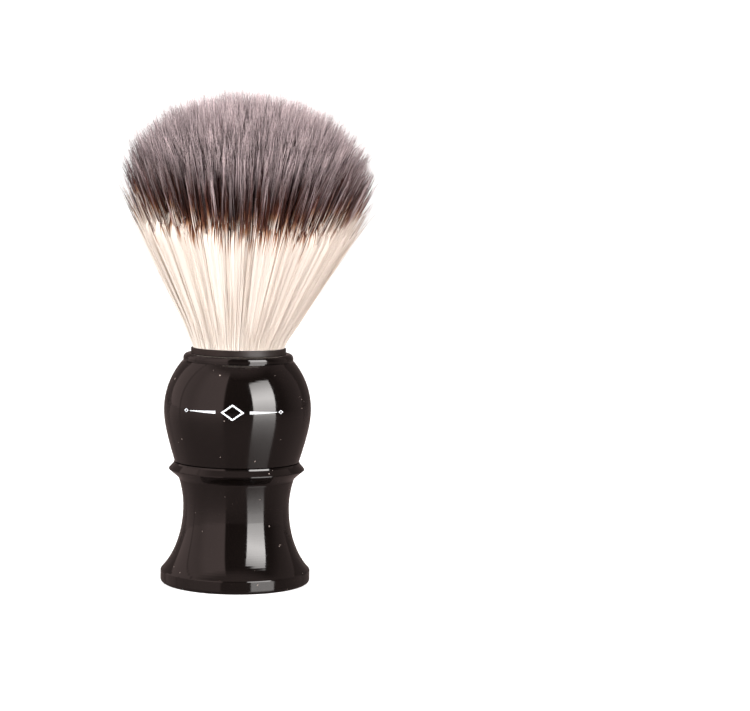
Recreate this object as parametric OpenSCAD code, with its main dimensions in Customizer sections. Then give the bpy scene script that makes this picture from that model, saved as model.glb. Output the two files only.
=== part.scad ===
// Shaving brush: a bulb handle on a waisted pedestal, weighted inside, with a flared filament knot.
// Millimetres. +Z is up along the axis of the brush, and the origin is the centre of the foot.

/* [Pedestal] */
// Diameter of the foot that the brush stands on
foot_d = 33.8; // [30:0.2:42]
// Height of the upright band round the foot
foot_h = 3; // [2.6:0.1:6]
// Radius of the rounded edge under the foot
foot_edge_r = 0.8; // [0.3:0.1:1.5]
// Diameter of the waist where it is narrowest
waist_d = 24; // [20:0.2:29]
// Height from the foot band up to the narrowest place
flare_h = 14.1; // [10:0.1:20]
// Height from the narrowest place up to the edge of the ridge
neck_h = 8.8; // [7:0.1:12]
// Diameter of the ridge under the bulb
ridge_d = 30.6; // [30:0.1:36]
// Thickness of the wall at the waist
waist_wall = 2.4; // [1.8:0.1:3]
// Width of the ring that is left round the base cap
foot_wall = 2.6; // [2.4:0.1:4]

/* [Bulb] */
// Diameter of the bulb at its belly
bulb_d = 33.2; // [27:0.2:40]
// Diameter of the bulb where it sits on the ridge
seat_d = 28.2; // [26:0.1:29]
// Height from the seat up to the belly
belly_h = 11.9; // [9:0.1:16]
// Height from the belly up to the shoulder
shoulder_h = 10.9; // [7:0.1:13]

/* [Collar] */
// Height of the collar ring
collar_h = 1.6; // [1.5:0.1:3]
// Thickness of the collar's rim round the neck
collar_wall = 0.9; // [0.8:0.1:2]
// Radius of the collar's rounded top edge
collar_edge_r = 1.1; // [0.3:0.1:1.2]
// Height of the dark groove between the shoulder and the collar
groove_h = 0.25; // [0.2:0.05:0.6]

/* [Knot] */
// Diameter of the filament bundle where it leaves the ferrule
knot_d = 20; // [16:0.5:24]
// Thickness of the ferrule's wall
ferrule_wall = 0.5; // [0.4:0.05:1]
// Height of the ferrule's lip above the collar
lip_h = 1.25; // [0.5:0.05:2]
// Length of the filaments above the lip
loft = 57; // [48:0.2:72]
// Diameter of the fan at its widest
fan_d = 58; // [48:0.5:70]
// Height of the domed crown above the widest place
crown_h = 22; // [16:0.5:27]
// How far the knot bends each way, in degrees
bend = 20; // [10:1:20]

/* [Weight and fastener] */
// Thread diameter of the tie bolt
bolt_d = 5; // [4:0.5:6]
// Outer diameter of the threaded insert
insert_d = 7; // [6.8:0.1:9]
// Length of the threaded insert
insert_h = 7; // [5:0.5:9]
// Thickness of the base cap
cap_t = 2; // [1.4:0.1:3]
// Thickness of the web that the weight is clamped against
web_t = 3; // [2:0.1:4]

/* [Fits] */
// Radial gap between pieces that are pushed together
fit_gap = 0.05; // [0.02:0.01:0.1]
// Radial gap round pieces that drop in loosely
drop_gap = 0.3; // [0.1:0.05:0.5]
// Gap kept round the knot wherever it bends
flex_gap = 0.35; // [0.25:0.05:0.5]

/* [Hidden] */
$fn = 96;

// Number of straight steps in a profile curve
STEPS = 28;
// Slack that makes a cut pass right through a face
OVER = 1;

// Radii of the outside
foot_r = foot_d / 2;
waist_r = waist_d / 2;
ridge_r = ridge_d / 2;
bulb_r = bulb_d / 2;
seat_r = seat_d / 2;
fan_r = fan_d / 2;
knot_r = knot_d / 2;

// Levels up the pedestal and the bulb
waist_z = foot_h + flare_h;
ridge_z = waist_z + neck_h;
ridge_cap_h = 1.5;
seat_z = ridge_z + ridge_cap_h;
belly_z = seat_z + belly_h;
shoulder_z = belly_z + shoulder_h;
seat_bevel = 0.25;

// The flare above the foot is a quarter ellipse cut short, and this is its full height over the flare's
flare_curl = 1.2;
// The waist runs up almost straight and turns out to the ridge over this height
turn_h = 2.3;
neck_bow_r = 21;
ridge_soft = 0.3;
ridge_edge_h = 0.35;
// The bulb's lower half is a hyperbola, and this is its roundness at the belly
belly_soft = 0.5;

// Base cap, set into the foot
cap_inset = 0.4;
cap_r = foot_r - foot_wall;
cap_top_z = cap_inset + cap_t;
cap_dish_r = cap_r - 4.2;
cap_dish_h = 0.5;
notch_w = 2.4;
notch_d = 1.2;

// Bolt stack, from the cap upward
head_h = 2.75;
head_r = 0.95 * bolt_d;
head_gap = 0.25;
socket_af = 0.6 * bolt_d;
socket_h = 1.6;
washer_t = 1.1;
washer_r = head_r + 1.6;
washer_z = cap_top_z + head_gap + head_h;
slug_z = washer_z + washer_t;
slug_r = waist_r - waist_wall - drop_gap;
slug_bevel = 0.6;
bolt_r = bolt_d / 2;
bolt_hole_r = bolt_r + 0.25;
bolt_short = 1.1;
bolt_bevel = 0.5;

// Boss and insert under the bulb, and the recess in the pedestal that takes them
boss_wall = 2;
boss_drop = 2.9;
boss_gap = 1;
boss_r = insert_d / 2 + boss_wall;
recess_r = boss_r + 0.6;
insert_z = seat_z - boss_drop;
insert_top_z = insert_z + insert_h;
thread_z = insert_top_z + boss_gap;
web_top_z = insert_z - boss_gap;
web_z = web_top_z - web_t;
slug_h = web_z - slug_z;
groove_depth = 0.35;

// Spigot that centres the bulb on the pedestal
seat_land = 2.2;
spigot_r = seat_r - seat_land;
spigot_h = 2.4;
spigot_gap = 0.2;

// Knot socket, ferrule and collar
socket_web = 1.8;
socket_z = thread_z + socket_web;
bond_gap = 0.2;
bore_r = knot_r + bond_gap;
ferrule_r = bore_r + ferrule_wall;
socket_r = ferrule_r + 0.1;
neck_r = socket_r + 0.65;
neck_rise = 0.5;
neck_z = shoulder_z + neck_rise;
flange_t = 0.6;
flange_z = neck_z + flange_t;
ferrule_floor_z = socket_z + 0.1;
ferrule_floor_t = 0.6;
collar_r = neck_r + fit_gap + collar_wall;
shoulder_r = collar_r + 0.2;
collar_z = shoulder_z + groove_h;
collar_top_z = collar_z + collar_h;
lip_z = collar_top_z + lip_h;
lip_edge_r = 0.2;

// Plug of resin round the butts of the filaments, and its binding
plug_z = ferrule_floor_z + ferrule_floor_t;
plug_r = bore_r - fit_gap;
plug_top_z = neck_z;
thread_r = 0.35;
binding_turns = 4;
binding_pitch = 1.1;
binding_z = plug_z + 3;

// The knot bends in two steps: its root leans about X just above the lip, and its fan about Y higher up
root_rise = 4.2;
fan_rise = 12;
root_pivot_z = lip_z + root_rise;
fan_pivot_z = lip_z + fan_rise;
fan_base_gap = 0.3;
fan_z = fan_pivot_z + fan_base_gap;
roof_drop = 0.25;
roof_slope = bend + 1.5;
ball_r = sqrt(bore_r * bore_r + root_rise * root_rise) - flex_gap;
dish_r = ball_r + flex_gap;
tip_z = lip_z + loft;
crown_z = tip_z - crown_h;
flank_slope = (fan_r - knot_r) / (crown_z - lip_z);
crown_fullness = 1.95;

// Radius of the fan's straight flank at a level
function flank_r(z) = knot_r + flank_slope * (z - lip_z);

// Steps from 0 to 1, both ends included
function steps(n) = [for (i = [0 : n]) i / n];

// Share of the way out, from 0 to 1, along an ellipse whose half-height is k times the stretch
function ellipse_bow(u, k) = (1 - sqrt(1 - u * u / (k * k))) / (1 - sqrt(1 - 1 / (k * k)));

// Share of the way out, from 0 to 1, along a hyperbola that is round near 0 and straight near 1
function hyperbola_bow(u, c) = (sqrt(c * c + u * u) - c) / (sqrt(c * c + 1) - c);

// How far a circle that is upright at its middle has turned in at a distance dz, when it turns in dr at h
function arc_in(dz, dr, h) =
    let (r = (h * h + dr * dr) / (2 * dr))
    r - sqrt(r * r - dz * dz);

// Quarter round from the angle a0 to a1 about a centre
function round_edge(x, z, r, a0, a1, n = 8) =
    [for (t = steps(n)) [x + r * cos(a0 + (a1 - a0) * t), z + r * sin(a0 + (a1 - a0) * t)]];

// Outside of the pedestal, from the foot up to the ridge
function flare_profile() =
    [for (t = steps(STEPS)) [waist_r + (foot_r - 0.1 - waist_r) * ellipse_bow(1 - t, flare_curl), foot_h + flare_h * t]];

turn_z = ridge_z - ridge_edge_h - turn_h;
turn_r = waist_r + neck_bow_r - sqrt(neck_bow_r * neck_bow_r - (turn_z - waist_z) * (turn_z - waist_z));

function neck_profile() =
    [for (t = steps(STEPS)) if (t > 0)
        let (dz = (turn_z - waist_z) * t)
        [waist_r + neck_bow_r - sqrt(neck_bow_r * neck_bow_r - dz * dz), waist_z + dz]];

function turn_profile() =
    [for (t = steps(16)) if (t > 0)
        [turn_r + (ridge_r - 0.15 - turn_r) * hyperbola_bow(t, ridge_soft), turn_z + turn_h * t]];

// Outside of the bulb, from the seat up to the shoulder
function bulb_low_profile() =
    [for (t = steps(STEPS))
        [bulb_r - (bulb_r - seat_r) * hyperbola_bow(1 - t, belly_soft),
            seat_z + seat_bevel + (belly_h - seat_bevel) * t]];

function bulb_high_profile() =
    [for (t = steps(STEPS)) if (t > 0)
        [bulb_r - arc_in(shoulder_h * t, bulb_r - shoulder_r, shoulder_h), belly_z + shoulder_h * t]];

// Crown of the fan, a superellipse from the widest place to the tip
function crown_profile() =
    [for (t = steps(STEPS))
        [fan_r * pow(1 - pow(sin(90 * t), crown_fullness), 1 / crown_fullness),
            crown_z + crown_h * sin(90 * t)]];

// Ring of a rectangular section
module ring(r_in, r_out, z, h) {
    rotate_extrude()
        polygon([[r_in, z], [r_out, z], [r_out, z + h], [r_in, z + h]]);
}

module base_cap() {
    color("#1a1716")
    difference() {
        rotate_extrude()
            polygon(concat(
                [[0, cap_inset + cap_dish_h], [cap_dish_r, cap_inset + cap_dish_h],
                    [cap_dish_r + cap_dish_h, cap_inset]],
                [[cap_r - fit_gap - 0.4, cap_inset], [cap_r - fit_gap, cap_inset + 0.4],
                    [cap_r - fit_gap, cap_top_z], [0, cap_top_z]]
            ));
        translate([cap_r - notch_d, -notch_w / 2, cap_inset - OVER])
            cube([notch_d + OVER, notch_w, OVER + cap_t / 2]);
    }
}

module pedestal() {
    color("#15100f")
    difference() {
        union() {
            rotate_extrude()
                polygon(concat(
                    [[0, 0]],
                    round_edge(foot_r - foot_edge_r, foot_edge_r, foot_edge_r, -90, 0),
                    [[foot_r, foot_h - 0.2]],
                    flare_profile(),
                    neck_profile(),
                    turn_profile(),
                    [[ridge_r, ridge_z - ridge_edge_h + 0.12], [ridge_r, ridge_z],
                        [seat_r + 0.2, seat_z - 0.35], [seat_r + 0.1, seat_z], [0, seat_z]]
                ));
            translate([0, 0, seat_z - OVER])
                cylinder(h = OVER + spigot_h, r = spigot_r - fit_gap);
        }
        translate([0, 0, -OVER])
            cylinder(h = OVER + cap_top_z, r = cap_r);
        translate([0, 0, -OVER])
            cylinder(h = OVER + web_z, r = slug_r + drop_gap);
        cylinder(h = seat_z, r = bolt_hole_r);
        translate([0, 0, web_top_z])
            cylinder(h = seat_z, r = recess_r);
    }
}

module ballast_slug() {
    color("#8d8f92")
    difference() {
        rotate_extrude()
            polygon([
                [0, slug_z], [slug_r - slug_bevel, slug_z], [slug_r, slug_z + slug_bevel],
                [slug_r, slug_z + slug_h - slug_bevel], [slug_r - slug_bevel, slug_z + slug_h], [0, slug_z + slug_h]
            ]);
        translate([0, 0, slug_z - OVER])
            cylinder(h = slug_h + 2 * OVER, r = bolt_hole_r);
    }
}

module bolt_washer() {
    color("#b9bbbd")
    ring(bolt_hole_r, washer_r, washer_z, washer_t);
}

module tie_bolt() {
    dome_h = 0.7 * head_h;
    color("#a4a6a9")
    difference() {
        union() {
            rotate_extrude()
                polygon(concat(
                    [[0, washer_z], [0, washer_z - head_h]],
                    [for (t = steps(10))
                        [head_r * (0.55 + 0.45 * sin(90 * t)), washer_z - head_h + dome_h * (1 - cos(90 * t))]],
                    [[head_r, washer_z]]
                ));
            rotate_extrude()
                polygon([
                    [0, washer_z - 0.1], [bolt_r, washer_z - 0.1], [bolt_r, insert_top_z - bolt_short - bolt_bevel],
                    [bolt_r - bolt_bevel, insert_top_z - bolt_short], [0, insert_top_z - bolt_short]
                ]);
        }
        translate([0, 0, washer_z - head_h - OVER])
            cylinder(h = OVER + socket_h, r = socket_af / sqrt(3), $fn = 6);
    }
}

module threaded_insert() {
    color("#b8924a")
    difference() {
        rotate_extrude()
            polygon([
                [0, insert_z], [insert_d / 2, insert_z], [insert_d / 2, insert_z + insert_h / 2 - groove_depth],
                [insert_d / 2 - groove_depth, insert_z + insert_h / 2],
                [insert_d / 2, insert_z + insert_h / 2 + groove_depth],
                [insert_d / 2, insert_top_z], [0, insert_top_z]
            ]);
        translate([0, 0, insert_z - OVER])
            cylinder(h = insert_h + 2 * OVER, r = bolt_r + fit_gap);
    }
}

module handle_bulb() {
    color("#15100f")
    difference() {
        union() {
            difference() {
                rotate_extrude()
                    polygon(concat(
                        [[0, seat_z], [seat_r - seat_bevel, seat_z]],
                        bulb_low_profile(),
                        bulb_high_profile(),
                        [[neck_r, shoulder_z], [neck_r, neck_z], [0, neck_z]]
                    ));
                translate([0, 0, seat_z - OVER])
                    cylinder(h = OVER + spigot_h + spigot_gap, r = spigot_r);
            }
            translate([0, 0, insert_z])
                cylinder(h = boss_drop + spigot_h + OVER, r = boss_r);
        }
        translate([0, 0, insert_z - OVER])
            cylinder(h = OVER + insert_h, r = insert_d / 2);
        translate([0, 0, insert_z])
            cylinder(h = thread_z - insert_z, r = bolt_hole_r);
        translate([0, 0, socket_z])
            cylinder(h = neck_z, r = socket_r);
    }
}

module collar_ring() {
    color("#15100f")
    rotate_extrude()
        polygon(concat(
            [[neck_r + fit_gap, collar_z], [collar_r, collar_z]],
            round_edge(collar_r - collar_edge_r, collar_top_z - collar_edge_r, collar_edge_r, 0, 90),
            [[ferrule_r + 2 * fit_gap, collar_top_z], [ferrule_r + 2 * fit_gap, flange_z],
                [neck_r + fit_gap, flange_z]]
        ));
}

module knot_ferrule() {
    color("#221a18")
    rotate_extrude()
        polygon(concat(
            [[0, ferrule_floor_z], [ferrule_r, ferrule_floor_z], [ferrule_r, neck_z], [neck_r, neck_z],
                [neck_r, flange_z], [ferrule_r, flange_z]],
            round_edge(ferrule_r - lip_edge_r, lip_z - lip_edge_r, lip_edge_r, 0, 90, 5),
            [[bore_r, lip_z], [bore_r, plug_z], [0, plug_z]]
        ));
}

module knot_plug() {
    color("#c9b28f")
    difference() {
        translate([0, 0, plug_z])
            cylinder(h = plug_top_z - plug_z, r = plug_r);
        translate([0, 0, root_pivot_z])
            sphere(r = dish_r);
        binding_turns_at(thread_r + fit_gap);
    }
}

// The binding's turns, round the butts of the filaments
module binding_turns_at(r) {
    for (i = [0 : binding_turns - 1])
        translate([0, 0, binding_z + binding_pitch * i])
            rotate_extrude()
                translate([plug_r - thread_r, 0])
                    circle(r = r, $fn = 24);
}

module knot_binding() {
    color("#e9e2d2")
    binding_turns_at(thread_r);
}

module bristle_root() {
    color("#efe3d4")
    difference() {
        union() {
            translate([0, 0, root_pivot_z])
                sphere(r = ball_r);
            translate([0, 0, root_pivot_z])
                cylinder(h = fan_rise - root_rise, r1 = ball_r, r2 = flank_r(fan_pivot_z));
        }
        // the roof falls away to both sides, so that the fan can lean over it
        translate([0, fan_r, fan_pivot_z - roof_drop])
            rotate([90, 0, 0])
                linear_extrude(height = fan_d)
                    polygon([
                        [-fan_r, -fan_r * tan(roof_slope)], [0, 0], [fan_r, -fan_r * tan(roof_slope)],
                        [fan_r, fan_r], [-fan_r, fan_r]
                    ]);
    }
}

module bristle_fan() {
    color("#8a7673")
    rotate_extrude()
        polygon(concat(
            [[0, fan_z], [flank_r(fan_z), fan_z]],
            crown_profile(),
            [[0, tip_z]]
        ));
}

base_cap();
pedestal();
ballast_slug();
bolt_washer();
tie_bolt();
threaded_insert();
handle_bulb();
collar_ring();
knot_ferrule();
knot_plug();
knot_binding();
bristle_root();
bristle_fan();
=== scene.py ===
import math

import bpy
import numpy as np
from mathutils import Matrix, Vector
from mathutils.bvhtree import BVHTree
from mathutils.kdtree import KDTree


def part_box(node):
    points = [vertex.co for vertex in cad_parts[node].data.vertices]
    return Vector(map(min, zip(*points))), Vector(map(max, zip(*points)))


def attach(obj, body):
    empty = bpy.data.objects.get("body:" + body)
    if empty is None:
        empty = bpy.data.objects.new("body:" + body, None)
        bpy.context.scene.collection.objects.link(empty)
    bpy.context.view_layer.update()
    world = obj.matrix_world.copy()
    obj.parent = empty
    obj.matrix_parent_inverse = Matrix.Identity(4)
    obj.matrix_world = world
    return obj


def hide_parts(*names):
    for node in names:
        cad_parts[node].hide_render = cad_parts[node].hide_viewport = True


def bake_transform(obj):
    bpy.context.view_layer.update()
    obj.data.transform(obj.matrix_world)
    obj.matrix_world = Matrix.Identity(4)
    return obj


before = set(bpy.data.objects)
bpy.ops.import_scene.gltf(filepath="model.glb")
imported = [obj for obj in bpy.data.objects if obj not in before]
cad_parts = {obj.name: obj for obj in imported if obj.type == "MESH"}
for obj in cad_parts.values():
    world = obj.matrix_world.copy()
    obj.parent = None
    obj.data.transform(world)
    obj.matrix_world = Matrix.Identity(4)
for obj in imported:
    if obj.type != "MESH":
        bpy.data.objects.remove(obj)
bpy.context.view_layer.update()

MM = 0.001
SEED = 4711

# ---------------------------------------------------------------------------------------------
# Places and sizes, in metres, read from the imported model
# ---------------------------------------------------------------------------------------------
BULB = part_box("handle_bulb")
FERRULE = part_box("knot_ferrule")
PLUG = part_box("knot_plug")
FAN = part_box("bristle_fan")

LIP_Z = FERRULE[1].z
TIP_Z = FAN[1].z
FAN_R = FAN[1].x
KNOT_CLEARANCE = 0.15 * MM
KNOT_R = PLUG[1].x - KNOT_CLEARANCE

# ---------------------------------------------------------------------------------------------
# The filament bundle
# ---------------------------------------------------------------------------------------------
STRANDS = 24000
CLUMPS = 4300
STRAND_R = 0.08 * MM
CROWN_H = 22 * MM
CROWN_FULLNESS = 2.05
BUNDLE_LEAN = math.radians(2.6)
BEND_SOFTNESS = 0.05
BEND_Z = LIP_Z - 1.2 * MM
SPLIT_Z = LIP_Z + 8.5 * MM
INNER_START_Z = LIP_Z + 22 * MM
SHELL_SHARE = 0.72
ROOT_Z = LIP_Z - 2.5 * MM
PIECE_STRANDS = 4000
DYE_DIP = 5.5 * MM
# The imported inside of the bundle, as a share of its radius, and how far it sinks near its top
CORE_SHARE = 0.965
CORE_JITTER = 0.01
CORE_SECTORS = 900
CORE_SINK = 0.17
CORE_TOP_Z = LIP_Z + 33 * MM

# How far the filaments stray from an even bundle, as standard deviations
UNEVENNESS = 0.9
CLUMP_SHIFT = 0.35 * MM
CLUMP_TUFT = 1.1 * MM
STRAND_SHIFT = 0.22 * MM
STRAND_TUFT = 0.5 * MM
STRAND_WAVE = 0.16 * MM
# Clumps nearer the rim than this stray less, so that the outline stays clean
CALM_FROM = 0.86
CALM_OVER = 0.1
CALM_SHARE = 0.6
# A few single hairs stand out from the rest
STRAY_SHARE = 0.006
STRAY_LEAST = 0.5
STRAY_MOST = 5.5
CLUMP_COLOUR_SHARE = 0.8
TAPER_LENGTH = 9 * MM
POINT_SHARE = 0.12
TUBE_SIDES = 3

# The texture columns: a strand's column holds its tip's height class and its colour variant
HEIGHT_CLASSES = 16
VARIANTS = 16
COLUMNS = HEIGHT_CLASSES * VARIANTS
TOP_Z = TIP_Z + 4 * MM + DYE_DIP
LOW_TIP_Z = TIP_Z - CROWN_H - 4 * MM


def crown_height(share):
    """Height of the crown above its widest level, at a share of the fan's radius."""
    return CROWN_H * (1 - np.clip(share, 0, 1) ** CROWN_FULLNESS) ** (1 / CROWN_FULLNESS)


def sunflower(count, rng, jitter):
    """Evenly spread points on the unit disc, moved a little at random."""
    i = np.arange(count) + 0.5
    radius = np.sqrt(i / count)
    angle = i * math.pi * (3 - math.sqrt(5))
    points = np.column_stack((radius * np.cos(angle), radius * np.sin(angle)))
    points += rng.normal(0, jitter / math.sqrt(count), points.shape)
    length = np.linalg.norm(points, axis=1)
    over = length > 1
    points[over] /= length[over, None]
    return points


def nearest(points, centres):
    """Index of the nearest centre for each point."""
    tree = KDTree(len(centres))
    for i, c in enumerate(centres):
        tree.insert((c[0], c[1], 0), i)
    tree.balance()
    return np.array([tree.find((p[0], p[1], 0))[1] for p in points])


def smooth(x):
    x = np.clip(x, 0, 1)
    return x * x * (3 - 2 * x)


def spread(s):
    """How far a filament has splayed out, from 0 to 1, at a share s of its height."""
    soft = BEND_SOFTNESS
    return (np.sqrt(soft * soft + s * s) - soft) / (math.sqrt(soft * soft + 1) - soft)


def dye_dip(unit):
    """The dye line dips at the front and the back of the bundle."""
    length = np.maximum(np.linalg.norm(unit, axis=-1), 0.05)
    return DYE_DIP * (unit[..., 1] / length) ** 2 * np.clip(length * 1.3, 0, 1)


class Bundle:
    """Centre lines of the filaments: where each one starts, where it ends and how it is coloured."""

    def __init__(self, seed):
        rng = np.random.default_rng(seed)
        self.unit = sunflower(STRANDS, rng, UNEVENNESS)
        centres = sunflower(CLUMPS, rng, UNEVENNESS)
        self.clump = nearest(self.unit, centres)
        clump_shift = rng.normal(0, CLUMP_SHIFT, (CLUMPS, 2))
        clump_tuft = rng.normal(0, CLUMP_TUFT, (CLUMPS, 2))
        clump_height = np.clip(rng.normal(0, 1.0, CLUMPS), -2, 1.5) * MM
        clump_variant = rng.integers(0, VARIANTS, CLUMPS)
        self.pull = np.clip(rng.normal(0.86, 0.1, CLUMPS), 0.4, 0.98)[self.clump]
        own = self.unit - centres[self.clump]
        share = np.linalg.norm(centres, axis=1)[self.clump]
        self.shift = clump_shift[self.clump] + rng.normal(0, STRAND_SHIFT, (STRANDS, 2))
        self.tuft = clump_tuft[self.clump] + rng.normal(0, STRAND_TUFT, (STRANDS, 2))
        calm = 1 - CALM_SHARE * smooth((share - CALM_FROM) / CALM_OVER)[:, None]
        self.shift *= calm
        self.tuft *= calm
        self.own = own * FAN_R
        self.tip_xy = centres[self.clump] * FAN_R
        self.full_z = TIP_Z - CROWN_H + crown_height(share) + clump_height[self.clump]
        self.tip_z = self.full_z + np.clip(rng.normal(0, 0.5, STRANDS), -1.5, 1) * MM - 0.3 * MM
        self.tip_z -= np.clip(np.abs(rng.normal(0, 1, STRANDS)) ** 3 * 0.6, 0, 7) * MM
        self.wave = rng.normal(0, STRAND_WAVE, (STRANDS, 2))
        self.phase = rng.uniform(0, 2 * math.pi, STRANDS)
        self.start_z = np.full(STRANDS, ROOT_Z)
        inner = np.linalg.norm(self.unit, axis=1) < SHELL_SHARE
        self.start_z[inner] = INNER_START_Z + rng.uniform(-2, 2, inner.sum()) * MM
        self.variant = np.where(rng.random(STRANDS) < CLUMP_COLOUR_SHARE, clump_variant[self.clump],
                                rng.integers(0, VARIANTS, STRANDS))
        stray = rng.random(STRANDS) < STRAY_SHARE
        outward = self.unit / np.maximum(np.linalg.norm(self.unit, axis=1), 0.05)[:, None]
        reach = rng.uniform(STRAY_LEAST, STRAY_MOST, stray.sum())[:, None]
        self.tuft[stray] += outward[stray] * reach * MM
        self.dip = dye_dip(self.unit)
        span = (self.tip_z + self.dip - LOW_TIP_Z) / (TOP_Z - LOW_TIP_Z)
        self.height_class = np.clip((span * HEIGHT_CLASSES).astype(int), 0, HEIGHT_CLASSES - 1)
        self.turn = rng.uniform(0, 2 * math.pi, STRANDS)
        self.radius = STRAND_R * rng.uniform(0.85, 1.15, STRANDS)

    def at(self, pick, z):
        """Points on the picked strands at the levels z (one row per strand)."""
        full = self.full_z[pick, None]
        s = np.clip((z - BEND_Z) / (full - BEND_Z), 0, None)
        out = spread(s)
        gather = 1 - self.pull[pick, None] * smooth((s - 0.72) / 0.28)
        flick = np.clip((s - 0.74) / 0.26, 0, 1.1) ** 1.8
        root = self.unit[pick] * KNOT_R
        points = np.empty(z.shape + (3,))
        for k in range(2):
            target = self.tip_xy[pick, k, None] + self.own[pick, k, None] * gather
            line = root[:, k, None] * (1 - out) + target * out
            line += self.shift[pick, k, None] * smooth(s) ** 1.5
            line += self.tuft[pick, k, None] * flick
            line += self.wave[pick, k, None] * np.sin(s * 9 + self.phase[pick, None] + k) * s
            points[..., k] = line
        points[..., 2] = z
        return lean(points)


def lean(points):
    """Leans the bundle to one side, as the real one sits in its handle."""
    above = points[..., 2] - LIP_Z
    angle = BUNDLE_LEAN * smooth(above / (6 * MM))
    x = points[..., 0] * np.cos(angle) + above * np.sin(angle)
    z = LIP_Z + above * np.cos(angle) - points[..., 0] * np.sin(angle)
    leaned = points.copy()
    leaned[..., 0] = np.where(above > 0, x, points[..., 0])
    leaned[..., 2] = np.where(above > 0, z, points[..., 2])
    return leaned


def tubes(name, bundle, pick, levels):
    """Mesh of three-sided tubes along the picked strands, with one texture column for each strand."""
    count, rings = levels.shape
    centre = bundle.at(pick, levels)
    along = np.gradient(centre, axis=1)
    along /= np.linalg.norm(along, axis=2)[..., None]
    side = np.cross(along, np.array((0.0, 1.0, 0.0)))
    side /= np.linalg.norm(side, axis=2)[..., None]
    other = np.cross(along, side)
    from_tip = bundle.tip_z[pick, None] - levels
    taper = POINT_SHARE + (1 - POINT_SHARE) * smooth(from_tip / TAPER_LENGTH)
    radius = bundle.radius[pick, None] * taper
    sides = TUBE_SIDES
    vertices = np.empty((count, rings, sides, 3))
    for k in range(sides):
        a = bundle.turn[pick, None] + 2 * math.pi * k / sides
        outward = np.cos(a)[..., None] * side + np.sin(a)[..., None] * other
        vertices[:, :, k] = centre + radius[..., None] * outward
    vertices = vertices.reshape(-1, 3)

    strand = np.arange(count)[:, None, None] * rings * sides
    ring = np.arange(rings - 1)[None, :, None] * sides
    k = np.arange(sides)[None, None, :]
    a = strand + ring + k
    b = strand + ring + (k + 1) % sides
    quads = np.stack((a, b, b + sides, a + sides), axis=-1).reshape(-1, 4)

    column = bundle.height_class[pick] * VARIANTS + bundle.variant[pick]
    u0 = (column + 0.15) / COLUMNS
    u1 = (column + 0.85) / COLUMNS
    v = (levels + bundle.dip[pick, None] - ROOT_Z) / (TOP_Z - ROOT_Z)
    shape = (count, rings - 1, sides)
    uv = np.empty(shape + (4, 2))
    uv[..., 0, 0] = uv[..., 3, 0] = u0[:, None, None]
    uv[..., 1, 0] = uv[..., 2, 0] = u1[:, None, None]
    uv[..., 0, 1] = uv[..., 1, 1] = v[:, :-1, None]
    uv[..., 2, 1] = uv[..., 3, 1] = v[:, 1:, None]

    return quad_mesh(name, vertices, quads, uv)


def quad_mesh(name, vertices, quads, uv):
    """A smooth mesh of quads with its texture columns, linked to the scene."""
    mesh = bpy.data.meshes.new(name)
    mesh.vertices.add(len(vertices))
    mesh.vertices.foreach_set("co", vertices.ravel())
    mesh.loops.add(quads.size)
    mesh.loops.foreach_set("vertex_index", quads.ravel().astype(np.int32))
    mesh.polygons.add(len(quads))
    mesh.polygons.foreach_set("loop_start", np.arange(0, quads.size, 4, dtype=np.int32))
    mesh.polygons.foreach_set("use_smooth", np.ones(len(quads), bool))
    layer = mesh.uv_layers.new(name="OFBake")
    layer.data.foreach_set("uv", uv.ravel())
    mesh.update(calc_edges=True)
    mesh.validate()
    obj = bpy.data.objects.new(name, mesh)
    bpy.context.scene.collection.objects.link(obj)
    return obj


def core(name, low, high, rings, columns, shares):
    """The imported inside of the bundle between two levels: a streaky cone under the outer filaments."""
    sectors = len(columns)
    angle = np.arange(sectors) * 2 * math.pi / sectors
    unit = np.column_stack((np.cos(angle), np.sin(angle)))
    z = np.linspace(low, high, rings)
    s = np.clip((z - BEND_Z) / (TIP_Z - CROWN_H - BEND_Z), 0, 1)
    radius = KNOT_R + (FAN_R - KNOT_R) * spread(s)
    points = np.empty((rings, sectors, 3))
    sink = CORE_SINK * smooth((z - LIP_Z - 24 * MM) / (9 * MM))
    points[..., :2] = unit[None] * ((shares[None, :] - sink[:, None]) * radius[:, None])[..., None]
    points[..., 2] = z[:, None]
    vertices = lean(points).reshape(-1, 3)
    ring = np.arange(rings - 1)[:, None] * sectors
    k = np.arange(sectors)[None, :]
    a = ring + k
    b = ring + (k + 1) % sectors
    quads = np.stack((a, b, b + sectors, a + sectors), axis=-1).reshape(-1, 4)
    v = (z[:, None] + dye_dip(unit)[None, :] - ROOT_Z) / (TOP_Z - ROOT_Z)
    uv = np.empty((rings - 1, sectors, 4, 2))
    uv[..., 0, 0] = uv[..., 3, 0] = (columns + 0.15) / COLUMNS
    uv[..., 1, 0] = uv[..., 2, 0] = (columns + 0.85) / COLUMNS
    uv[..., 0, 1] = v[:-1]
    uv[..., 1, 1] = np.roll(v, -1, axis=1)[:-1]
    uv[..., 2, 1] = np.roll(v, -1, axis=1)[1:]
    uv[..., 3, 1] = v[1:]
    return quad_mesh(name, vertices, quads, uv)


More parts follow.
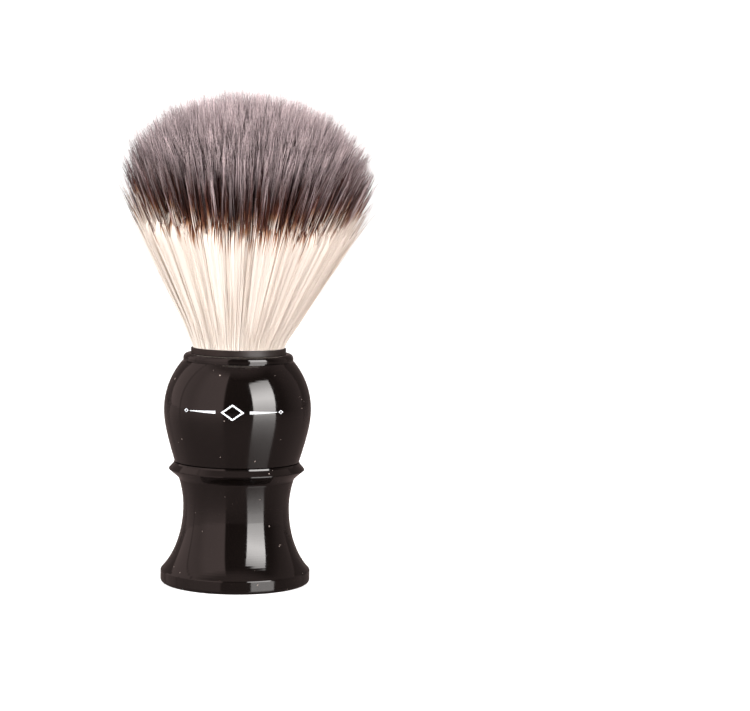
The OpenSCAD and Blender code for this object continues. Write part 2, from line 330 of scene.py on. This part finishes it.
def make_bundle():
    """All the filaments, in pieces below and above the level where one joint hands over to the next."""
    bundle = Bundle(SEED)
    material = filament_material()
    order = np.argsort(np.arctan2(bundle.unit[:, 1], bundle.unit[:, 0]), kind="stable")
    rng = np.random.default_rng(SEED + 1)
    sectors = CORE_SECTORS
    columns = (HEIGHT_CLASSES - 1) * VARIANTS + rng.integers(0, VARIANTS, sectors)
    shares = CORE_SHARE + rng.uniform(-CORE_JITTER, CORE_JITTER, sectors)

    def root_piece(piece):
        piece.data.materials.append(material)
        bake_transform(piece)
        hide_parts("bristle_root")

    def fan_piece(piece):
        piece.data.materials.append(material)
        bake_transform(piece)
        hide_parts("bristle_fan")

    root_piece(core("core_root", ROOT_Z, SPLIT_Z, 8, columns, shares))
    fan_piece(core("core_fan", SPLIT_Z, CORE_TOP_Z, 12, columns, shares))

    lower = order[bundle.start_z[order] < SPLIT_Z]
    steps = np.array((0.0, 0.22, 0.4, 0.58, 0.78, 1.0))
    for n, start in enumerate(range(0, len(lower), 2 * PIECE_STRANDS)):
        pick = lower[start:start + 2 * PIECE_STRANDS]
        levels = ROOT_Z + (SPLIT_Z - ROOT_Z) * steps[None, :].repeat(len(pick), axis=0)
        root_piece(tubes(f"filaments_root_{n + 1}", bundle, pick, levels))

    steps = np.array((0.0, 0.16, 0.34, 0.52, 0.68, 0.8, 0.9, 1.0))
    for n, start in enumerate(range(0, STRANDS, PIECE_STRANDS)):
        pick = order[start:start + PIECE_STRANDS]
        low = np.maximum(bundle.start_z[pick], SPLIT_Z)[:, None]
        levels = low + (bundle.tip_z[pick, None] - low) * steps[None, :]
        fan_piece(tubes(f"filaments_fan_{n + 1}", bundle, pick, levels))


# ---------------------------------------------------------------------------------------------
# Materials
# ---------------------------------------------------------------------------------------------
class Shader:
    """A node material, with short calls for the nodes that the recipes below use."""

    def __init__(self, name):
        self.material = bpy.data.materials.new(name)
        self.material.use_nodes = True
        self.nodes = self.material.node_tree.nodes
        self.links = self.material.node_tree.links
        self.bsdf = self.nodes["Principled BSDF"]

    def set(self, **values):
        for key, value in values.items():
            self.bsdf.inputs[key.replace("_", " ")].default_value = value

    def feed(self, socket, source):
        if isinstance(source, (int, float, tuple)):
            socket.default_value = source
        else:
            self.links.new(source, socket)

    def math(self, operation, a, b=0.0):
        node = self.nodes.new("ShaderNodeMath")
        node.operation = operation
        self.feed(node.inputs[0], a)
        self.feed(node.inputs[1], b)
        return node.outputs[0]

    def mix(self, factor, a, b, blend="MIX"):
        node = self.nodes.new("ShaderNodeMix")
        node.data_type = "RGBA"
        node.blend_type = blend
        self.feed(node.inputs["Factor"], factor)
        self.feed(node.inputs[6], a)
        self.feed(node.inputs[7], b)
        return node.outputs[2]

    def ramp(self, factor, stops):
        node = self.nodes.new("ShaderNodeValToRGB")
        ramp = node.color_ramp
        while len(ramp.elements) < len(stops):
            ramp.elements.new(0.5)
        for element, (position, colour) in zip(ramp.elements, stops):
            element.position = position
            element.color = colour if len(colour) == 4 else (*colour, 1)
        self.feed(node.inputs[0], factor)
        return node.outputs[0]

    def place(self):
        return self.nodes.new("ShaderNodeTexCoord").outputs["Object"]

    def stretch(self, vector, scale):
        node = self.nodes.new("ShaderNodeMapping")
        node.inputs["Scale"].default_value = scale
        self.links.new(vector, node.inputs["Vector"])
        return node.outputs[0]

    def noise(self, vector, scale, detail=3.0, roughness=0.5):
        node = self.nodes.new("ShaderNodeTexNoise")
        node.inputs["Scale"].default_value = scale
        node.inputs["Detail"].default_value = detail
        node.inputs["Roughness"].default_value = roughness
        self.links.new(vector, node.inputs["Vector"])
        return node.outputs["Fac"]

    def cells(self, vector, scale):
        node = self.nodes.new("ShaderNodeTexVoronoi")
        node.inputs["Scale"].default_value = scale
        self.links.new(vector, node.inputs["Vector"])
        return node.outputs["Distance"]

    def bump(self, height, strength, distance):
        node = self.nodes.new("ShaderNodeBump")
        node.inputs["Strength"].default_value = strength
        node.inputs["Distance"].default_value = distance
        self.links.new(height, node.inputs["Height"])
        self.links.new(node.outputs[0], self.bsdf.inputs["Normal"])

    def colour(self, source):
        self.feed(self.bsdf.inputs["Base Color"], source)

    def rough(self, source):
        self.feed(self.bsdf.inputs["Roughness"], source)


def grey(value):
    return (value, value, value)


# The largest speck of dust, as a share of the cell that it lies in
SPECK_SIZE = 0.17


def gloss_plastic(name, base):
    """Moulded black plastic with a deep shine, fine handling marks and specks of dust."""
    s = Shader(name)
    place = s.place()
    tone = s.ramp(s.noise(place, 90, 4), [(0.3, base), (0.75, tuple(1.35 * c for c in base))])
    speck = s.cells(place, 620)
    pick = s.noise(place, 310, 1)
    size = s.ramp(pick, [(0.54, grey(0)), (0.74, grey(1))])
    limit = s.math("MULTIPLY", size, SPECK_SIZE)
    mask = s.math("GREATER_THAN", limit, speck)
    s.colour(s.mix(mask, tone, (0.22, 0.18, 0.16, 1)))
    wipe = s.noise(s.stretch(place, (60, 60, 900)), 1.6, 5, 0.65)
    haze = s.ramp(wipe, [(0.35, grey(0.05)), (0.8, grey(0.11))])
    s.rough(s.mix(mask, haze, (0.5, 0.5, 0.5, 1)))
    s.set(IOR=1.52)
    s.bump(s.noise(place, 140, 2), 0.035, 0.4 * MM)
    return s.material


def satin_plastic(name, base):
    """Moulded plastic with a fine spark-eroded grain."""
    s = Shader(name)
    place = s.place()
    grain = s.noise(place, 4200, 2)
    s.colour(s.mix(s.ramp(s.noise(place, 160, 4), [(0.35, grey(0)), (0.7, grey(1))]),
                   (*base, 1), (*[1.6 * c for c in base], 1)))
    s.rough(s.ramp(grain, [(0.3, grey(0.38)), (0.7, grey(0.55))]))
    s.bump(grain, 0.25, 0.05 * MM)
    return s.material


def turned_metal(name, base, roughness, lines=5200):
    """Metal off a lathe: fine rings round the axis, with duller patches."""
    s = Shader(name)
    place = s.place()
    rings = s.noise(s.stretch(place, (8, 8, lines)), 1.0, 3, 0.6)
    patches = s.noise(place, 220, 4)
    s.colour(s.mix(s.ramp(patches, [(0.35, grey(0)), (0.75, grey(1))]),
                   (*base, 1), (*[0.72 * c for c in base], 1)))
    s.rough(s.ramp(rings, [(0.3, grey(roughness * 0.75)), (0.7, grey(roughness * 1.3))]))
    s.set(Metallic=1.0)
    s.bump(rings, 0.12, 0.04 * MM)
    return s.material


def cast_resin(name):
    """Poured resin, amber and slightly cloudy, with the butts of the filaments showing as pale dots."""
    s = Shader(name)
    place = s.place()
    butts = s.cells(place, 2600)
    dots = s.ramp(butts, [(0.25, grey(1)), (0.5, grey(0))])
    amber = s.ramp(s.noise(place, 260, 4), [(0.3, (0.42, 0.24, 0.09)), (0.75, (0.66, 0.46, 0.24))])
    s.colour(s.mix(dots, amber, (0.8, 0.7, 0.55, 1)))
    s.rough(s.ramp(s.noise(place, 700, 2), [(0.3, grey(0.15)), (0.7, grey(0.3))]))
    s.bump(dots, 0.2, 0.05 * MM)
    return s.material


def wound_thread(name):
    """Twisted cotton thread: slanted plies with a soft fuzz, and painted shade in the grooves between the
    plies.
    """
    s = Shader(name)
    place = s.place()
    wave = s.nodes.new("ShaderNodeTexWave")
    wave.bands_direction = "DIAGONAL"
    wave.inputs["Scale"].default_value = 900
    wave.inputs["Distortion"].default_value = 2.5
    s.links.new(place, wave.inputs["Vector"])
    # painted shade: the colour follows the bump's wave, darker in the grooves between the plies
    s.colour(s.ramp(wave.outputs["Fac"], [(0.1, (0.55, 0.49, 0.4)), (0.6, (0.83, 0.79, 0.7))]))
    s.set(Roughness=0.85)
    s.bump(wave.outputs["Fac"], 0.5, 0.06 * MM)
    return s.material


# The filaments' colours from the root up, the lighter single hairs, and the pale tips, which at the top of
# the crown also carry painted light
CREAM = (0.915, 0.83, 0.75)
CREAM_ROOT = (0.90, 0.82, 0.735)
OCHRE = (0.48, 0.25, 0.14)
RED_BROWN = (0.17, 0.055, 0.030)
DARK = (0.088, 0.029, 0.019)
# The lilac is kept dark: below the pale tips it is partly the dye and partly painted shade deeper in the
# bundle
LILAC = (0.036, 0.018, 0.020)
LILAC_LIGHT = (0.066, 0.038, 0.042)
STREAK = (0.34, 0.21, 0.22)
TIP = (0.93, 0.765, 0.78)
# The dye's edge wanders this far from column to column, and runs down further on a few hairs
RAGGED_MM = 7.5
LONG_HAIR_MM = 5.0
LONG_HAIR_SHARE = 0.08
PALE_REACH_MM = 10.0


def filament_material():
    """Dyed synthetic filament: cream, a dark band with a ragged edge, then lilac-grey with pale tips; the
    dark lilac under the tips is partly painted shade deeper in the bundle, and the tips at the top of the
    crown carry painted light.

    The texture's u picks the strand's column and v is the height, so one picture holds all the colours.
    """
    s = Shader("dyed_filament_and_painted_shade")
    uv = s.nodes.new("ShaderNodeUVMap")
    uv.uv_map = "OFBake"
    split = s.nodes.new("ShaderNodeSeparateXYZ")
    s.links.new(uv.outputs[0], split.inputs[0])
    column = s.math("FLOOR", s.math("MULTIPLY", split.outputs[0], float(COLUMNS)))
    height_class = s.math("FLOOR", s.math("DIVIDE", column, float(VARIANTS)))

    def chance(seed):
        node = s.nodes.new("ShaderNodeTexWhiteNoise")
        node.noise_dimensions = "1D"
        s.feed(node.inputs["W"], s.math("ADD", column, seed))
        return node.outputs["Value"]

    # height above the root in millimetres, with the band's edge moved up or down for each column
    height = s.math("MULTIPLY", split.outputs[1], (TOP_Z - ROOT_Z) / MM)
    ragged = s.math("MULTIPLY", s.math("SUBTRACT", chance(0.37), 0.5), RAGGED_MM)
    is_long = s.math("GREATER_THAN", chance(5.91), 1 - LONG_HAIR_SHARE)
    long_hair = s.math("MULTIPLY", is_long, LONG_HAIR_MM)
    level = s.math("ADD", s.math("ADD", height, ragged), long_hair)
    span = (TOP_Z - ROOT_Z) / MM
    root_mm = ROOT_Z / MM

    def at(z_mm):
        return (z_mm - root_mm) / span

    level = s.math("DIVIDE", level, span)
    bands = s.ramp(level, [
        (at(53.5), CREAM_ROOT), (at(60.0), CREAM), (at(83.0), CREAM), (at(84.8), OCHRE),
        (at(86.0), RED_BROWN), (at(88.5), DARK), (at(93.0), DARK), (at(98.0), LILAC),
        (at(105.0), LILAC_LIGHT),
    ])
    # pale tips, by the distance to the top of the strand's height class: partly the filaments' own pale
    # tips, partly painted shade, as each picked strand keeps its dark body colour below its tip where shade
    # falls deeper in the bundle
    class_mm = (TOP_Z - LOW_TIP_Z) / MM / HEIGHT_CLASSES
    top = s.math("MULTIPLY_ADD", height_class, class_mm)
    top.node.inputs[2].default_value = (LOW_TIP_Z - ROOT_Z) / MM + class_mm * 0.5
    below_tip = s.math("SUBTRACT", top, height)
    depth = s.math("DIVIDE", below_tip, PALE_REACH_MM)
    reach = s.ramp(depth, [(0.1, grey(1.0)), (1.0, grey(0))])
    point = s.ramp(depth, [(0.0, grey(0.9)), (0.5, grey(0))])
    # painted light: tips near the top of the crown are painted paler, the higher the paler
    crown = s.ramp(s.math("DIVIDE", top, span), [(at(92.0), grey(0.28)), (at(111.0), grey(1.0))])
    point = s.mix(1.0, point, crown, "MULTIPLY")
    picked = s.ramp(chance(7.3), [(0.6, grey(0.02)), (0.74, grey(1.0))])
    pale = s.mix(1.0, s.mix(1.0, reach, picked, "MULTIPLY"), point, "LIGHTEN")
    # lighter single hairs above the band
    light_hair = s.ramp(chance(4.41), [(0.76, grey(0)), (0.84, grey(0.85))])
    above_band = s.ramp(level, [(at(87), grey(0)), (at(94), grey(1))])
    bands = s.mix(s.mix(1.0, light_hair, above_band, "MULTIPLY"), bands, (*STREAK, 1))
    # each column has its own shade: nearly even in the cream, strong in the dyed part and softer at the tips
    shade = chance(2.13)
    even = s.ramp(shade, [(0.0, grey(0.93)), (1.0, grey(1.0))])
    mixed = s.ramp(shade, [(0.0, grey(0.06)), (0.3, grey(0.25)), (0.65, grey(0.75)), (1.0, grey(1.0))])
    dyed = s.ramp(level, [(at(82), grey(0)), (at(90), grey(1))])
    body = s.mix(1.0, bands, s.mix(dyed, even, mixed), "MULTIPLY")
    faded = s.ramp(shade, [(0.0, grey(0.28)), (0.6, grey(0.85)), (1.0, grey(1.0))])
    # the tip colour is laid over the body by the pale mask; below the tips the dark body is partly painted
    # shade
    s.colour(s.mix(pale, body, s.mix(1.0, faded, (*TIP, 1), "MULTIPLY")))
    s.rough(s.ramp(chance(9.7), [(0.0, grey(0.36)), (1.0, grey(0.55))]))
    s.set(IOR=1.48, Specular_IOR_Level=0.3)
    return s.material


def pad_print():
    """White ink printed on the bulb: dense, slightly rough, with pinholes."""
    s = Shader("pad_print_ink")
    place = s.place()
    pinhole = s.ramp(s.noise(place, 5200, 2), [(0.3, grey(0.62)), (0.45, grey(1))])
    s.colour(s.mix(1.0, (0.80, 0.84, 0.88, 1), pinhole, "MULTIPLY"))
    s.rough(s.ramp(s.noise(place, 1800, 2), [(0.3, grey(0.3)), (0.7, grey(0.45))]))
    return s.material


def dress_nodes():
    """Gives every CAD node that stays visible its material."""
    black = gloss_plastic("gloss_black_plastic", (0.0026, 0.0018, 0.0016))
    looks = {
        "pedestal": black,
        "handle_bulb": black,
        "collar_ring": black,
        "knot_ferrule": satin_plastic("ferrule_black_plastic", (0.010, 0.0065, 0.0055)),
        "base_cap": satin_plastic("satin_black_plastic", (0.016, 0.0145, 0.014)),
        "ballast_slug": turned_metal("turned_steel", (0.46, 0.46, 0.47), 0.34),
        "tie_bolt": turned_metal("bolt_steel", (0.60, 0.60, 0.61), 0.24),
        "bolt_washer": turned_metal("washer_steel", (0.64, 0.64, 0.65), 0.28),
        "threaded_insert": turned_metal("insert_brass", (0.76, 0.55, 0.24), 0.26, 2600),
        "knot_plug": cast_resin("amber_resin"),
        "knot_binding": wound_thread("cotton_thread"),
    }
    for node, material in looks.items():
        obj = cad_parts[node]
        obj.data.materials.clear()
        obj.data.materials.append(material)


# ---------------------------------------------------------------------------------------------
# The printed ornament on the bulb
# ---------------------------------------------------------------------------------------------
PRINT_Z = 40.2 * MM
PRINT_LIFT = 0.03 * MM
# Lozenges: width, height and line width; the lines taper from one width to the other
CENTRE_LOZENGE = (5.2 * MM, 3.6 * MM, 0.62 * MM)
END_LOZENGE = (1.3 * MM, 0.9 * MM, 0.3 * MM)
END_ACROSS = 11.2 * MM
LINE_START = 3.8
LINE_LENGTH = 6.4
LINE_WIDTH = 0.62
LINE_THINNING = 0.5
LINE_STEPS = 16


def make_print():
    """A plain lozenge between two tapering lines, laid on the bulb's front."""
    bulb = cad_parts["handle_bulb"]
    tree = BVHTree.FromObject(bulb, bpy.context.evaluated_depsgraph_get())
    radius = BULB[1].x

    def lay(across, up):
        angle = across / radius
        out = Vector((math.sin(angle), -math.cos(angle), 0))
        start = Vector((0, 0, PRINT_Z + up)) + out * 2 * radius
        hit, normal, _, _ = tree.ray_cast(start, -out)
        return hit + normal * PRINT_LIFT

    vertices, faces = [], []

    def strip(points, width):
        """A band of ink along points (across, up), with its width at each point."""
        first = len(vertices)
        for i, (x, y) in enumerate(points):
            a, b = points[max(i - 1, 0)], points[min(i + 1, len(points) - 1)]
            length = math.hypot(b[0] - a[0], b[1] - a[1])
            nx, ny = -(b[1] - a[1]) / length, (b[0] - a[0]) / length
            half = width[i] / 2
            vertices.append(lay(x + nx * half, y + ny * half))
            vertices.append(lay(x - nx * half, y - ny * half))
        for i in range(len(points) - 1):
            k = first + 2 * i
            faces.append((k, k + 1, k + 3, k + 2))

    def lozenge(cx, w, h, ink):
        """The outline of a lozenge, as a closed ring of ink."""
        first = len(vertices)
        corners = [(1, 0), (0, 1), (-1, 0), (0, -1)]
        steps = 6
        for grow in (0.0, ink):
            for c in range(4):
                x0, y0 = corners[c]
                x1, y1 = corners[(c + 1) % 4]
                for k in range(steps):
                    t = k / steps
                    x = cx + (x0 + (x1 - x0) * t) * (w / 2 - grow)
                    y = (y0 + (y1 - y0) * t) * (h / 2 - grow * h / w)
                    vertices.append(lay(x, y))
        n = 4 * steps
        for k in range(n):
            faces.append((first + k, first + (k + 1) % n, first + n + (k + 1) % n, first + n + k))

    lozenge(0, *CENTRE_LOZENGE)
    marks = range(LINE_STEPS + 1)
    for side in (-1, 1):
        line = [(side * (LINE_START + LINE_LENGTH * t / LINE_STEPS) * MM, 0.0) for t in marks]
        strip(line, [(LINE_WIDTH - LINE_THINNING * t / LINE_STEPS) * MM for t in marks])
        lozenge(side * END_ACROSS, *END_LOZENGE)

    mesh = bpy.data.meshes.new("bulb_print")
    mesh.from_pydata(vertices, [], faces)
    mesh.update()
    obj = bpy.data.objects.new("bulb_print", mesh)
    bpy.context.scene.collection.objects.link(obj)
    mesh.materials.append(pad_print())
    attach(obj, "handle")


# ---------------------------------------------------------------------------------------------
# Camera, floor and light
# ---------------------------------------------------------------------------------------------
CAMERA_TARGET = Vector((30.8 * MM, 0, 52.1 * MM))
CAMERA_DISTANCE = 0.4514
CAMERA_PITCH = math.radians(4.43)
CAMERA_ROLL = math.radians(1.2)
LENS = 96


def make_camera():
    data = bpy.data.cameras.new("camera")
    data.lens = LENS
    data.sensor_width = 36
    data.clip_end = 30
    camera = bpy.data.objects.new("camera", data)
    back = Vector((0, -math.cos(CAMERA_PITCH), math.sin(CAMERA_PITCH)))
    turn = back.to_track_quat("Z", "Y").to_matrix().to_4x4()
    place = Matrix.Translation(CAMERA_TARGET + back * CAMERA_DISTANCE)
    camera.matrix_world = place @ turn @ Matrix.Rotation(CAMERA_ROLL, 4, "Z")
    bpy.context.scene.collection.objects.link(camera)
    bpy.context.scene.camera = camera


def staged(name, vertices, faces, shader):
    """A piece of the studio: it lights or carries the object and is not part of it."""
    mesh = bpy.data.meshes.new(name)
    mesh.from_pydata(vertices, [], faces)
    for polygon in mesh.polygons:
        polygon.use_smooth = True
    mesh.materials.append(shader.material)
    obj = bpy.data.objects.new(name, mesh)
    bpy.context.scene.collection.objects.link(obj)


def make_floor():
    """A pale sweep: floor, a wide curve and a wall behind. In reflections it is a glossy, greyer table."""
    half, back, curve, height = 3.0, 1.6, 0.8, 2.5
    steps = 12
    line = [(-2.5, 0.0), (back, 0.0)]
    for k in range(1, steps + 1):
        a = math.pi / 2 * k / steps
        line.append((back + curve * math.sin(a), curve * (1 - math.cos(a))))
    line.append((back + curve, height))
    vertices, faces = [], []
    for y, z in line:
        vertices += [(-half, y, z), (half, y, z)]
    for k in range(len(line) - 1):
        faces.append((2 * k, 2 * k + 1, 2 * k + 3, 2 * k + 2))
    s = Shader("paper_sweep")
    s.set(Base_Color=(0.9, 0.9, 0.9, 1), Roughness=0.9)
    s.set(Emission_Color=(1, 1, 1, 1), Emission_Strength=0.45)
    table = s.nodes.new("ShaderNodeBsdfPrincipled")
    table.inputs["Base Color"].default_value = (0.19, 0.145, 0.138, 1)
    table.inputs["Roughness"].default_value = 0.16
    table.inputs["IOR"].default_value = 1.5
    path = s.nodes.new("ShaderNodeLightPath")
    mix = s.nodes.new("ShaderNodeMixShader")
    s.links.new(path.outputs["Is Camera Ray"], mix.inputs[0])
    s.links.new(table.outputs[0], mix.inputs[1])
    s.links.new(s.bsdf.outputs[0], mix.inputs[2])
    s.links.new(mix.outputs[0], s.nodes["Material Output"].inputs[0])
    staged("floor", vertices, faces, s)


SOFTBOX_AZIMUTH = math.radians(46.5)
SOFTBOX_AWAY = 0.8
SOFTBOX_WIDTH = 0.52
SOFTBOX_FLARE = 1.2
SOFTBOX_HEIGHT = 0.86
# The part of its glow that lights the object, against what the gloss shows
SOFTBOX_KEY = 0.76
SOFTBOX_TINT = (1, 0.965, 0.945)
# How bright it is at each share of its height
SOFTBOX_GLOW = [
    (0.0, 8.0), (0.14, 9.5), (0.37, 13.5), (0.52, 12.0), (0.72, 8.5), (0.94, 6.0), (1.0, 1.0),
]


def make_softbox():
    """An upright softbox at the right: brightest a little above the object, fading to its top."""
    out = Vector((math.sin(SOFTBOX_AZIMUTH), -math.cos(SOFTBOX_AZIMUTH), 0))
    across = Vector((out.y, -out.x, 0)) * SOFTBOX_WIDTH / 2
    foot = out * SOFTBOX_AWAY
    up = Vector((0, 0, SOFTBOX_HEIGHT))
    top = across * SOFTBOX_FLARE
    vertices = [foot - across, foot + across, foot + top + up, foot - top + up]
    s = Shader("softbox_cloth")
    split = s.nodes.new("ShaderNodeSeparateXYZ")
    s.links.new(s.place(), split.inputs[0])
    share = s.math("DIVIDE", split.outputs[2], SOFTBOX_HEIGHT)
    peak = max(glow for _, glow in SOFTBOX_GLOW)
    glow = s.ramp(share, [
        (at, tuple(value / peak * c for c in SOFTBOX_TINT)) for at, value in SOFTBOX_GLOW
    ])
    light = s.nodes.new("ShaderNodeEmission")
    s.links.new(glow, light.inputs[0])
    path = s.nodes.new("ShaderNodeLightPath")
    strength = s.math("MULTIPLY_ADD", path.outputs["Is Glossy Ray"], peak * (1 - SOFTBOX_KEY))
    strength.node.inputs[2].default_value = peak * SOFTBOX_KEY
    s.links.new(strength, light.inputs[1])
    s.links.new(light.outputs[0], s.nodes["Material Output"].inputs[0])
    staged("softbox", vertices, [(0, 1, 2, 3)], s)


FILL_WATTS = 25.0
FILL_AWAY = Vector((-0.9, -0.9, 0.45))
FILL_SIZE = (1.0, 0.8)


def make_fill():
    """A wide, soft lamp at the left of the camera, which the gloss does not show."""
    data = bpy.data.lights.new("fill", "AREA")
    data.shape = "RECTANGLE"
    data.size, data.size_y = FILL_SIZE
    data.energy = FILL_WATTS
    light = bpy.data.objects.new("fill", data)
    turn = FILL_AWAY.to_track_quat("Z", "Y").to_matrix().to_4x4()
    light.matrix_world = Matrix.Translation(FILL_AWAY) @ turn
    light.visible_glossy = False
    bpy.context.scene.collection.objects.link(light)


# The world's strength: in the gloss, for all other light, and behind the object
ROOM_GLOW = 1.0
TENT_GLOW = 0.85
BACKDROP_GLOW = 1.1


def make_world():
    """The room as the gloss sees it: a pale wall at the left, darkness round the camera, a dim ceiling."""
    world = bpy.data.worlds.new("studio")
    bpy.context.scene.world = world
    world.use_nodes = True
    nodes, links = world.node_tree.nodes, world.node_tree.links
    nodes.clear()

    def math_node(operation, a, b=None):
        node = nodes.new("ShaderNodeMath")
        node.operation = operation
        links.new(a, node.inputs[0])
        if b is not None:
            if isinstance(b, float):
                node.inputs[1].default_value = b
            else:
                links.new(b, node.inputs[1])
        return node.outputs[0]

    def ramp_node(source, stops):
        node = nodes.new("ShaderNodeValToRGB")
        links.new(source, node.inputs[0])
        ramp = node.color_ramp
        while len(ramp.elements) < len(stops):
            ramp.elements.new(0.5)
        for element, (position, colour) in zip(ramp.elements, stops):
            element.position = position
            element.color = (*colour, 1)
        return node.outputs[0]

    where = nodes.new("ShaderNodeTexCoord")
    axes = nodes.new("ShaderNodeSeparateXYZ")
    links.new(where.outputs["Generated"], axes.inputs[0])
    forward = math_node("MULTIPLY", axes.outputs[1], -1.0)
    azimuth = math_node("ARCTAN2", axes.outputs[0], forward)
    turn = math_node("MULTIPLY_ADD", azimuth, 1 / (2 * math.pi))
    turn.node.inputs[2].default_value = 0.5

    def at(degrees):
        return degrees / 360 + 0.5

    def wall(level):
        return (level, 0.75 * level, 0.71 * level)

    ring = ramp_node(turn, [
        (at(-180), wall(0.3)), (at(-150), wall(0.35)), (at(-130), wall(0.6)), (at(-99.5), wall(0.78)),
        (at(-97.5), wall(0.25)), (at(-95.5), wall(0.75)), (at(-75), wall(0.75)), (at(-58), wall(1.02)),
        (at(-19.5), wall(1.12)), (at(-17), wall(0.05)), (at(80), wall(0.06)), (at(100), wall(0.22)),
        (at(125), wall(0.3)), (at(180), wall(0.3)),
    ])
    ceiling = ramp_node(axes.outputs[2], [(0.78, grey(0)), (0.9, grey(1))])
    room = nodes.new("ShaderNodeMix")
    room.data_type = "RGBA"
    links.new(ceiling, room.inputs["Factor"])
    links.new(ring, room.inputs[6])
    room.inputs[7].default_value = (*wall(0.36), 1)

    lit = nodes.new("ShaderNodeBackground")
    links.new(room.outputs[2], lit.inputs["Color"])
    lit.inputs["Strength"].default_value = ROOM_GLOW
    tent = nodes.new("ShaderNodeBackground")
    tent.inputs["Color"].default_value = (1.0, 0.985, 0.975, 1)
    tent.inputs["Strength"].default_value = TENT_GLOW
    white = nodes.new("ShaderNodeBackground")
    white.inputs["Color"].default_value = (1, 1, 1, 1)
    white.inputs["Strength"].default_value = BACKDROP_GLOW
    path = nodes.new("ShaderNodeLightPath")
    seen = nodes.new("ShaderNodeMixShader")
    links.new(path.outputs["Is Glossy Ray"], seen.inputs[0])
    links.new(tent.outputs[0], seen.inputs[1])
    links.new(lit.outputs[0], seen.inputs[2])
    mix = nodes.new("ShaderNodeMixShader")
    links.new(path.outputs["Is Camera Ray"], mix.inputs[0])
    links.new(seen.outputs[0], mix.inputs[1])
    links.new(white.outputs[0], mix.inputs[2])
    out = nodes.new("ShaderNodeOutputWorld")
    links.new(mix.outputs[0], out.inputs[0])


make_camera()
make_floor()
make_softbox()
make_fill()
make_world()
dress_nodes()
make_bundle()
make_print()
bpy.context.scene.view_settings.view_transform = "Standard"
